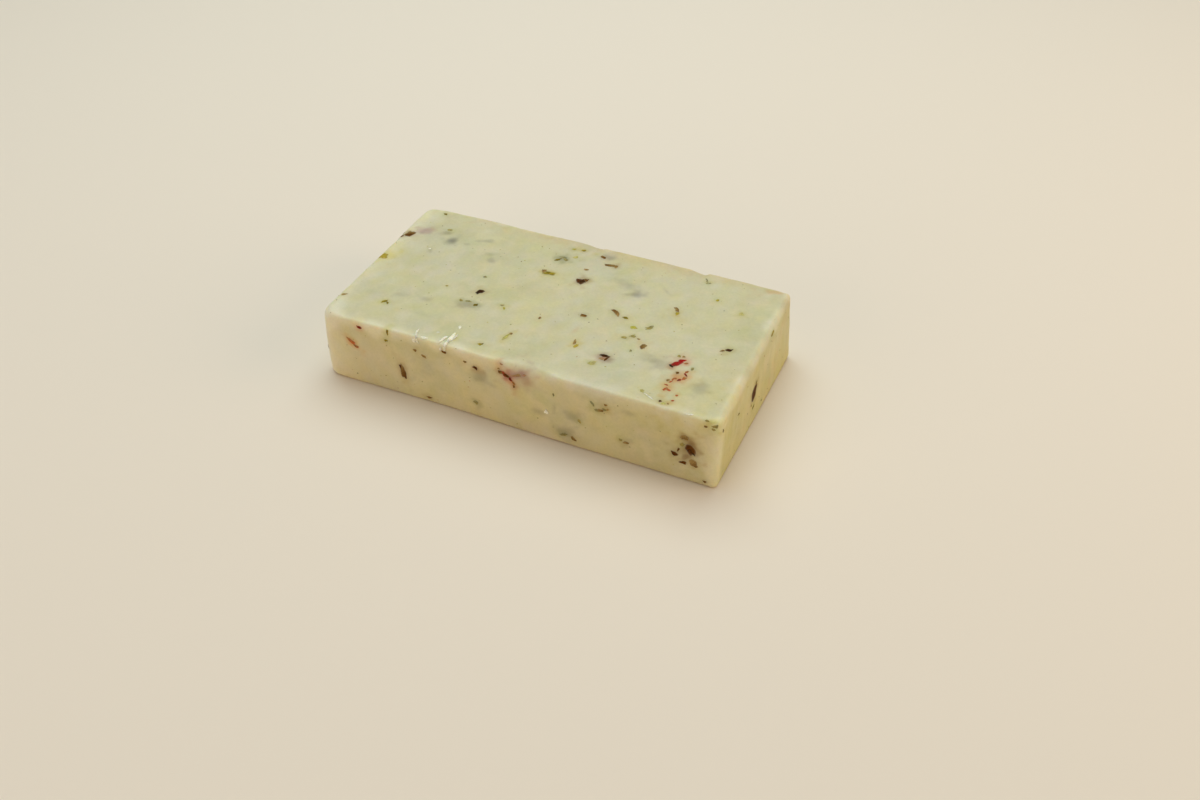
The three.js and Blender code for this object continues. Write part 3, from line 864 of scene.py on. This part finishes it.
def chip_colours(rng, a, b, films, tones, cheese):
    """Colour of each point of a chip: one tone shades into the other across it, in a random direction, with
    a little noise, and the cheese shows through where its film lies over the edge."""
    angle = rng.uniform(0.0, FULL_TURN)
    border = 0.5 + 0.5 * (a * np.cos(angle) + b * np.sin(angle)) + rng.uniform(*BORDER_SHIFT)
    share = SECOND_SHARE * smooth(border)
    tone = np.outer(1.0 - share, tones[0]) + np.outer(share, tones[1])
    tone *= rng.normal(1.0, TONE_GRAIN, (len(a), 1)) * rng.uniform(*TONE_SPREAD)
    mixed = tone * (1.0 - films[:, None]) + np.array(cheese) * films[:, None]
    return np.concatenate([np.clip(mixed, 0.0, 1.0), np.ones((len(a), 1))], axis=1)


def finished_chip(rng, chip, height, tones, cheese, section=CHIP_SECTION, spokes=CHIP_SPOKES):
    """One chip, given as face, place, size and turn: points, faces that look outwards, and colours."""
    points, a, b, films = laid_chip(rng, *chip, height, section, spokes)
    faces = polar_faces(len(section), spokes)
    if chip[0] in MIRRORED_FACES:
        faces = faces[:, ::-1]
    return points, faces, chip_colours(rng, a, b, films, tones, cheese)


def joined(parts):
    """One set of points, faces and colours from many."""
    points, faces, colours = zip(*parts)
    starts = np.cumsum([0] + [len(each) for each in points[:-1]])
    faces = np.concatenate([each + start for each, start in zip(faces, starts)])
    return np.concatenate(points), faces, np.concatenate(colours)


def drawn(rng, shares):
    """A name drawn at random by its share."""
    return rng.choice(list(shares), p=list(shares.values()))


def unseen_places(rng, count_on_underside, margin):
    """Places on the faces that the photograph doesn't show, spread by area: one in each of equal strips
    along u, anywhere along v but for a margin."""
    for face in UNSEEN_FACES:
        first, second = FACES[face][:2]
        count = round(count_on_underside * SPANS[first] * SPANS[second] / (LENGTH * DEPTH))
        for index in range(count):
            u = LOW[first] + SPANS[first] * (index + rng.uniform(*STRIP_MIDDLE)) / count
            yield face, u, rng.uniform(LOW[second] + margin, HIGH[second] - margin)


def scattered_chips(rng, count_on_underside):
    """Chips for the faces that the photograph doesn't show, at the same mix of sizes and tones."""
    chips = []
    for face, u, v in unseen_places(rng, count_on_underside, CHIP_MARGIN):
        length = rng.uniform(*CHIP_LENGTHS) + LONG_CHIPS["longer"] * rng.random() ** LONG_CHIPS["power"]
        width = length * rng.uniform(*CHIP_WIDTHS)
        chips.append((face, u, v, length, width, rng.uniform(*TURNS), drawn(rng, CHIP_SHARES)))
    return chips


def scattered_stains(rng, count_on_underside):
    """Sunken chilli and clouds for the faces that the photograph doesn't show."""
    stains = []
    for face, u, v in unseen_places(rng, count_on_underside, STAIN_MARGIN):
        length = rng.uniform(*STAIN_LENGTHS)
        kind = drawn(rng, STAIN_SHARES)
        strength = rng.uniform(*STAIN_STRENGTHS)
        width = length * rng.uniform(*STAIN_WIDTHS)
        stains.append((face, u, v, length, width, rng.uniform(*TURNS), kind, strength))
    return stains


def scattered_specks(rng, count):
    """Fine flecks over every face, by area."""
    areas = np.array([SPANS[first] * SPANS[second] for first, second, axis, way in FACES.values()])
    specks = []
    for face in rng.choice(list(FACES), size=count, p=areas / areas.sum()):
        axes = FACES[face][:2]
        u, v = (rng.uniform(LOW[axis] + SPECK_MARGIN, HIGH[axis] - SPECK_MARGIN) for axis in axes)
        length = rng.uniform(*SPECK_LENGTHS)
        tone = drawn(rng, SPECK_SHARES)
        specks.append((face, u, v, length, length * rng.uniform(*SPECK_WIDTHS), rng.uniform(*TURNS), tone))
    return specks


def all_chips(settings):
    """Every chip as face, place, size, turn and tone: those listed, then those out of sight."""
    placed = [(face, *chip) for face, chips in CHIPS.items() for chip in chips]
    return placed + scattered_chips(np.random.default_rng(SEEDS["chips"]), settings.chips_per_face)


def side_tint(points):
    """What the sides multiply the cheese by: painted shade and warm bounced light, which make them deeper in
    colour than the top from just under its rim, and the cut end deepest."""
    to_side = (HIGH[:2] - np.abs(points[:, :2])).min(axis=1)
    side = smooth(1.0 - to_side / SIDE_TINT_WIDTH) * smooth((HEIGHT - points[:, 2]) / SIDE_TINT_FADE)
    cut = smooth(1.0 - (HIGH[0] - points[:, 0]) / SIDE_TINT_WIDTH)
    tint = np.outer(1.0 - cut, SIDE_TINT) + np.outer(cut, CUT_TINT)
    return 1.0 - side[:, None] * (1.0 - tint)


def rubbed_share(points):
    """How much painted highlight the skin has, from 0 to 1: bands round the upper rims and down the upright
    corners, each strongest on the edge, with a wandering border."""
    wander = ripple(points, *RUB_WANDER)
    below_top = RUB_LEAN * (HEIGHT - points[:, 2])
    to_low = points[:, :2] - LOW[:2]
    to_high = HIGH[:2] - points[:, :2]
    from_side = {"old": to_low[:, 0], "front": to_low[:, 1], "cut": to_high[:, 0], "back": to_high[:, 1]}
    share = np.zeros(len(points))
    along_front = smooth((points[:, 0] - FRONT_RUB["start"]) / FRONT_RUB["reach"])
    weaker = 1.0 - (1.0 - FRONT_RUB["least"]) * along_front
    for side, (width, strength) in RUBBED_RIMS.items():
        distance = np.hypot(below_top, from_side[side]) + wander
        band = strength * hump(np.maximum(distance, 0.0), width)
        share += band * weaker if side == "front" else band
    for (end, side), (width, strength) in RUBBED_CORNERS.items():
        distance = np.hypot(from_side[end], from_side[side]) + CORNER_WANDER * wander
        share += strength * hump(np.maximum(distance, 0.0), width)
    return np.clip(share, 0.0, 1.0)


def stain_paint(points, settings):
    """Colour that multiplies the cheese at each point: the painted side shade, less a share where the
    painted rim highlight lifts it, the patches, and every stain, which fades it towards the stain's colour by
    strength and spot weight. A chip bleeds a weak stain round itself. Some umber stains are painted shade in
    the front's pocket. The fourth channel is the share of painted highlight along the rims."""
    fuzz = 1.0 + np.clip(ripple(points, *STAIN_FUZZ), *STAIN_FUZZ_LIMITS)
    stains = [(face, *s[:5], kind, s[5]) for (face, kind), group in STAINS.items() for s in group]
    stains += scattered_stains(np.random.default_rng(SEEDS["stains"]), settings.chips_per_face // 2)
    for face, u, v, length, width, turn, tone in all_chips(settings):
        size = (length + BLEED_REACH, width + BLEED_REACH)
        stains.append((face, u, v, *size, turn, TONES[tone][3], BLEED_STRENGTH))
    rubbed = rubbed_share(points)
    paint = np.ones((len(points), 4))
    # Painted side shade, lifted by a share where the painted rim highlight lies
    paint[:, :3] = 1.0 - (1.0 - RUBBED_CLEAN * rubbed[:, None]) * (1.0 - side_tint(points))
    for colour, waves in PATCHES:
        share = np.clip(PATCH_SHARE + ripple(points, *waves), 0.0, 1.0)
        paint[:, :3] *= 1.0 - share[:, None] * (1.0 - np.array(colour))
    for face, u, v, length, width, turn, kind, strength in stains:
        spot = spot_frame(face, *unsettled(face, u, v), turn)
        near = np.flatnonzero(np.abs(points - spot[0]).max(axis=1) < STAIN_REACH * max(length, width))
        weight = spot_weight(points[near], spot, length, width, fuzz[near])
        paint[near, :3] *= 1.0 - strength * weight[:, None] * (1.0 - np.array(STAIN_COLOURS[kind]))
    paint[:, 3] = rubbed
    return paint


def ruled_lines(axis, step):
    """Grid lines along one axis: a power curve crowds them towards both ends, and the middle is even."""
    band = BAND * (np.arange(BAND_LINES) / BAND_LINES) ** BAND_CROWDING
    low, high = LOW[axis] + BAND, HIGH[axis] - BAND
    middle = np.linspace(low, high, round((high - low) / step) + 1)
    return np.concatenate([LOW[axis] + band, middle, (HIGH[axis] - band)[::-1]])


def skin_grid(step):
    """The whole skin as points and quads: each face is a grid of its ruled lines, its points are carried
    onto the finished form, and the faces share the points of their common edges by lattice number."""
    lines = [ruled_lines(axis, step) for axis in range(3)]
    counts = [len(each) for each in lines]
    points = np.zeros((int(np.prod(counts)), 3))
    quads = []
    for face, (first, second, axis, way) in FACES.items():
        row, column = np.meshgrid(np.arange(counts[first]), np.arange(counts[second]), indexing="ij")
        lattice = [row, column, np.full_like(row, counts[axis] - 1 if way > 0 else 0)]
        order = np.argsort([first, second, axis])
        number = np.ravel_multi_index([lattice[each] for each in order], counts)
        points[number] = skin(face, lines[first][row], lines[second][column])
        corners = [number[:-1, :-1], number[1:, :-1], number[1:, 1:], number[:-1, 1:]]
        if face in MIRRORED_FACES:
            corners.reverse()
        quads.append(np.stack(corners, axis=-1).reshape(-1, 4))
    used, renumbered = np.unique(np.concatenate(quads), return_inverse=True)
    return points[used], renumbered.reshape(-1, 4)


def node(tree, kind, sockets=(), **settings):
    """Adds a node. Settings are its own; sockets pairs an input with a value, or with an output to link
    to."""
    made = tree.nodes.new(kind)
    for name, value in settings.items():
        setattr(made, name, value)
    for name, value in dict(sockets).items():
        if isinstance(value, bpy.types.NodeSocket):
            tree.links.new(value, made.inputs[name])
        else:
            made.inputs[name].default_value = value
    return made


def new_material(name):
    """An empty material, its tree, and its coordinates in Blender's metres."""
    material = bpy.data.materials.new(name)
    material.use_nodes = True
    tree = material.node_tree
    tree.nodes.clear()
    coordinates = node(tree, "ShaderNodeTexCoord").outputs["Object"]
    return material, tree, coordinates


def per_metre(size):
    """Scale of a noise pattern whose features are this many millimetres across."""
    return 1.0 / (size * MM)


NOISE_SPAN = {"From Min": 0.3, "From Max": 0.7}  # nearly all of a noise pattern lies between these
MULTIPLIED = {"data_type": "RGBA", "blend_type": "MULTIPLY"}


def cheese_material(settings):
    """Semi-soft pressed cheese, knife-cut: waxy, a little greasy, and lit from inside at its edges. The
    curds show as faint clouds of cream and grey-green. The cut face has a grain of a few tenths of a
    millimetre, drawn at 0.7 mm so that it shows."""
    material, tree, coordinates = new_material("pressed_cheese")
    paint = node(tree, "ShaderNodeVertexColor", layer_name=COLOUR_ATTRIBUTE)
    patterns = {
        "clouds": {"Scale": per_metre(17.0), "Detail": 3.0, "Roughness": 0.55},
        "curds": {"Scale": per_metre(6.0), "Detail": 2.0, "Distortion": 0.6},
        "grain": {"Scale": per_metre(0.7), "Detail": 2.0, "Roughness": 0.6},
        "grease": {"Scale": per_metre(11.0), "Detail": 4.0},
    }
    noise = {}
    for name, sockets in patterns.items():
        noise[name] = node(tree, "ShaderNodeTexNoise", {"Vector": coordinates, **sockets}).outputs["Fac"]

    # Each layer: what spreads it, where that starts and where it is full, the most that it covers, its
    # colour
    colour = (*settings.cheese_colour, 1.0)
    layers = (
        (noise["clouds"], 0.42, 0.68, 0.58, settings.cloud_colour),
        (noise["curds"], 0.46, 0.70, 0.60, settings.cream_colour),
        # The paint's fourth channel mixes in the painted highlight along the rims
        (paint.outputs["Alpha"], 0.0, 1.0, 0.72, settings.rim_colour),
    )
    for spread, start, full, most, tone in layers:
        share = node(tree, "ShaderNodeMapRange", {
            "Value": spread, "From Min": start, "From Max": full, "To Max": most,
        })
        mixed = {0: share.outputs[0], 6: colour, 7: (*tone, 1.0)}
        colour = node(tree, "ShaderNodeMix", mixed, data_type="RGBA").outputs[2]
    grain_tint = node(tree, "ShaderNodeMapRange", {
        "Value": noise["grain"], **NOISE_SPAN, "To Min": 0.965, "To Max": 1.03,
    })
    for tint in (paint.outputs["Color"], grain_tint.outputs[0]):
        colour = node(tree, "ShaderNodeMix", {0: 1.0, 6: colour, 7: tint}, **MULTIPLIED).outputs[2]

    roughness = node(tree, "ShaderNodeMapRange", {
        "Value": noise["grease"], **NOISE_SPAN, "To Min": 0.36, "To Max": 0.54,
    })
    fine = node(tree, "ShaderNodeBump", {"Strength": 0.35, "Distance": 0.05 * MM, "Height": noise["grain"]})
    curd_bump = node(tree, "ShaderNodeBump", {
        "Strength": 0.5, "Distance": 0.12 * MM, "Height": noise["curds"], "Normal": fine.outputs["Normal"],
    })
    shader = node(tree, "ShaderNodeBsdfPrincipled", {
        "Base Color": colour,
        "Roughness": roughness.outputs[0],
        "IOR": 1.45,
        "Subsurface Weight": 0.35,
        "Subsurface Radius": (1.0, 0.72, 0.36),
        "Subsurface Scale": 2.2 * MM,
        "Normal": curd_bump.outputs["Normal"],
    })
    node(tree, "ShaderNodeOutputMaterial", {"Surface": shader.outputs["BSDF"]})
    return material


def painted_material(kind):
    """The finish of one kind of piece: its colours come from the paint on its points, with fibres that
    darken and lift it. A film of cheese dulls it, so it shines less than wet flesh would."""
    name, roughness, rough_spread, fibre, fibre_height, subsurface = FINISHES[kind]
    material, tree, coordinates = new_material(name)
    paint = node(tree, "ShaderNodeVertexColor", layer_name=COLOUR_ATTRIBUTE)
    fibres = node(tree, "ShaderNodeTexNoise", {
        "Vector": coordinates, "Scale": per_metre(fibre), "Detail": 3.0, "Distortion": 1.2,
    }).outputs["Fac"]
    shade = node(tree, "ShaderNodeMapRange", {"Value": fibres, **NOISE_SPAN, "To Min": 0.72, "To Max": 1.3})
    colour = node(tree, "ShaderNodeMix", {
        0: 1.0, 6: paint.outputs["Color"], 7: shade.outputs[0],
    }, **MULTIPLIED)
    low, high = roughness - rough_spread, roughness + rough_spread
    gloss = node(tree, "ShaderNodeMapRange", {"Value": fibres, **NOISE_SPAN, "To Min": low, "To Max": high})
    bump = node(tree, "ShaderNodeBump", {"Strength": 0.6, "Distance": fibre_height * MM, "Height": fibres})
    shader = node(tree, "ShaderNodeBsdfPrincipled", {
        "Base Color": colour.outputs[2],
        "Roughness": gloss.outputs[0],
        "IOR": 1.42,
        "Subsurface Weight": subsurface,
        "Subsurface Radius": (1.0, 0.7, 0.3),
        "Subsurface Scale": 0.8 * MM,
        "Specular IOR Level": 0.08,
        "Normal": bump.outputs["Normal"],
    })
    node(tree, "ShaderNodeOutputMaterial", {"Surface": shader.outputs["BSDF"]})
    return material


class PEPPERJACK_OT_block(bpy.types.Operator):
    """Build the skin of the block"""

    bl_idname = "pepperjack.block"
    bl_label = "Cheese block"

    def execute(self, context):
        settings = context.scene.pepper_jack_block
        points, quads = skin_grid(settings.grid_step / MM)
        paint = stain_paint(points, context.scene.pepper_jack_chilli)
        block = mesh_piece("cheese_skin", points, quads, paint, cheese_material(settings), "cheese")
        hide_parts(NODE)
        return {"FINISHED"}


class PEPPERJACK_OT_chilli(bpy.types.Operator):
    """Lay the diced chilli on the skin, one joined mesh for each kind"""

    bl_idname = "pepperjack.chilli"
    bl_label = "Diced chilli"

    def execute(self, context):
        settings = context.scene.pepper_jack_chilli
        cheese = context.scene.pepper_jack_block.cheese_colour
        rng = np.random.default_rng(SEEDS["chilli"])
        chips = [(chip, CHIP_SECTION, CHIP_SPOKES) for chip in all_chips(settings)]
        chips += [(speck, SPECK_SECTION, SPECK_SPOKES) for speck in scattered_specks(rng, settings.specks)]
        parts = {"green_chilli": [], "dark_chilli_skin": [], "red_chilli": []}
        for (*chip, tone), section, spokes in chips:
            kind, _, second, _, _ = TONES[tone]
            tones = (getattr(settings, tone), getattr(settings, second))
            height = settings.proud / MM * rng.uniform(*CHIP_HEIGHTS)
            parts[kind].append(finished_chip(rng, chip, height, tones, cheese, section, spokes))
        for kind, pieces in parts.items():
            mesh_piece(f"{kind}_chips", *joined(pieces), painted_material(kind), kind)
        return {"FINISHED"}


class PEPPERJACK_OT_shavings(bpy.types.Operator):
    """Lay the smeared shavings of cheese on the rims, and the pale pieces that are painted glints"""

    bl_idname = "pepperjack.shavings"
    bl_label = "Shavings"

    def execute(self, context):
        settings = context.scene.pepper_jack_block
        tones = (settings.shaving_colour, settings.shaving_colour)
        rng = np.random.default_rng(SEEDS["shavings"])
        parts = []
        for face, shavings in SHAVINGS.items():
            for *shaving, height in shavings:
                parts.append(finished_chip(rng, (face, *shaving), height, tones, settings.cheese_colour))
        mesh_piece("cheese_shavings", *joined(parts), painted_material("cheese"), "cheese")
        return {"FINISHED"}


def floor_material(settings):
    """Plain floor rolled with warm white matt paint: a faint orange-peel of a millimetre or two."""
    material, tree, coordinates = new_material("matt_white_paint")
    peel = node(tree, "ShaderNodeTexNoise", {"Vector": coordinates, "Scale": per_metre(1.6), "Detail": 2.0})
    bump = node(tree, "ShaderNodeBump", {
        "Strength": 0.15, "Distance": 0.03 * MM, "Height": peel.outputs["Fac"],
    })
    shader = node(tree, "ShaderNodeBsdfPrincipled", {
        "Base Color": (*settings.floor_colour, 1.0),
        "Roughness": 0.85,
        "Normal": bump.outputs["Normal"],
    })
    node(tree, "ShaderNodeOutputMaterial", {"Surface": shader.outputs["BSDF"]})
    return material


def floor_mesh(flat=0.9, cove=0.9, inner=(0.02, 0.5), gap=0.05 * MM, rings=40, spokes=96):
    """A round floor whose rim curves up: radius and height follow a line and then a quarter circle, in
    metres. Inner rings stand at shares of the flat radius, and the gap keeps it just under the block."""
    angle = np.linspace(0.0, FULL_TURN / 4, rings)
    radius = np.concatenate([flat * np.array(inner), flat + cove * np.sin(angle)])
    height = np.concatenate([np.zeros(len(inner)), cove * (1.0 - np.cos(angle))]) - gap
    turn = np.linspace(0.0, FULL_TURN, spokes, endpoint=False)
    x, y = np.outer(radius, np.cos(turn)), np.outer(radius, np.sin(turn))
    points = np.stack([x, y, np.outer(height, np.ones(spokes))], axis=-1).reshape(-1, 3)
    number = np.arange(len(points)).reshape(-1, spokes)
    after = np.roll(number, -1, axis=1)
    quads = np.stack([number[:-1], number[1:], after[1:], after[:-1]], axis=-1).reshape(-1, 4)
    mesh = bpy.data.meshes.new("floor")
    mesh.from_pydata(points.tolist(), [], quads.tolist() + [number[0].tolist()])
    mesh.shade_smooth()
    return mesh


def looking(direction, roll=0.0):
    """Turn that points -Z along a direction with X level, then rolls about it by degrees."""
    back = -np.array(direction) / np.linalg.norm(direction)
    right = np.cross((0.0, 0.0, 1.0), back)
    right /= np.linalg.norm(right)
    up = np.cross(back, right)
    angle = np.radians(roll)
    leaning_right = right * np.cos(angle) + up * np.sin(angle)
    leaning_up = -right * np.sin(angle) + up * np.cos(angle)
    return Matrix(np.stack([leaning_right, leaning_up, back], axis=1).tolist()).to_4x4()


def area_light(name, side, power, colour, place):
    """A square soft light at a place, turned to the origin. In metres."""
    light = bpy.data.lights.new(name, "AREA")
    light.size = side
    light.energy = power
    light.color = colour
    lamp = bpy.data.objects.new(name, light)
    lamp.matrix_world = Matrix.Translation(place) @ looking(-np.array(place))
    bpy.context.scene.collection.objects.link(lamp)


class PEPPERJACK_OT_studio(bpy.types.Operator):
    """Set up the floor, the lights and the camera"""

    bl_idname = "pepperjack.studio"
    bl_label = "Studio"

    def execute(self, context):
        scene = context.scene
        settings = scene.pepper_jack_studio
        floor = bpy.data.objects.new("floor", floor_mesh())
        floor.data.materials.append(floor_material(settings))
        scene.collection.objects.link(floor)
        floor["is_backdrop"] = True

        for name, (side, colour, place) in LIGHTS.items():
            area_light(name, side, getattr(settings, f"{name}_power"), colour, place)
        world = bpy.data.worlds.new("studio_air")
        world.use_nodes = True
        for socket, value in AIR.items():
            world.node_tree.nodes["Background"].inputs[socket].default_value = value
        scene.world = world
        scene.view_settings.view_transform = "Standard"

        azimuth, elevation = np.radians([settings.azimuth, settings.elevation])
        back = np.array([
            np.sin(azimuth) * np.cos(elevation),
            -np.cos(azimuth) * np.cos(elevation),
            np.sin(elevation),
        ])
        target = (np.array(CAMERA_TARGET) + ORIGIN_SHIFT) * MM
        camera = bpy.data.objects.new("camera", bpy.data.cameras.new("camera"))
        camera.data.lens = settings.lens
        camera.data.sensor_width = SENSOR_WIDTH
        camera.data.clip_start = CAMERA_CLIP
        place = Matrix.Translation((target + back * settings.distance).tolist())
        camera.matrix_world = place @ looking(-back, settings.roll)
        scene.collection.objects.link(camera)
        scene.camera = camera
        return {"FINISHED"}


class PEPPERJACK_PT_panel(bpy.types.Panel):
    """Lists the pieces and the studio"""

    bl_idname = "PEPPERJACK_PT_panel"
    bl_label = "Pepper jack block"
    bl_space_type = "VIEW_3D"
    bl_region_type = "UI"
    bl_category = "Pepper jack"

    def draw(self, context):
        for operator in OPERATORS:
            self.layout.operator(operator.bl_idname)
        for group in SETTINGS:
            for name in SETTINGS[group].__annotations__:
                self.layout.prop(getattr(context.scene, group), name)


SETTINGS = {
    "pepper_jack_block": BlockSettings,
    "pepper_jack_chilli": ChilliSettings,
    "pepper_jack_studio": StudioSettings,
}
OPERATORS = (PEPPERJACK_OT_block, PEPPERJACK_OT_chilli, PEPPERJACK_OT_shavings, PEPPERJACK_OT_studio)


def register():
    for each in (*SETTINGS.values(), *OPERATORS, PEPPERJACK_PT_panel):
        bpy.utils.register_class(each)
    for name, group in SETTINGS.items():
        setattr(bpy.types.Scene, name, PointerProperty(type=group))


def unregister():
    for name in SETTINGS:
        delattr(bpy.types.Scene, name)
    for each in (PEPPERJACK_PT_panel, *OPERATORS, *SETTINGS.values()):
        bpy.utils.unregister_class(each)


def main():
    register()
    bpy.ops.pepperjack.block()
    bpy.ops.pepperjack.chilli()
    bpy.ops.pepperjack.shavings()
    bpy.ops.pepperjack.studio()
    boxes = {"cad": CAD_BOX, "visual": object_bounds()}
    {name: [list(corner) for corner in corners] for name, corners in boxes.items()}


if __name__ == "__main__":
    main()
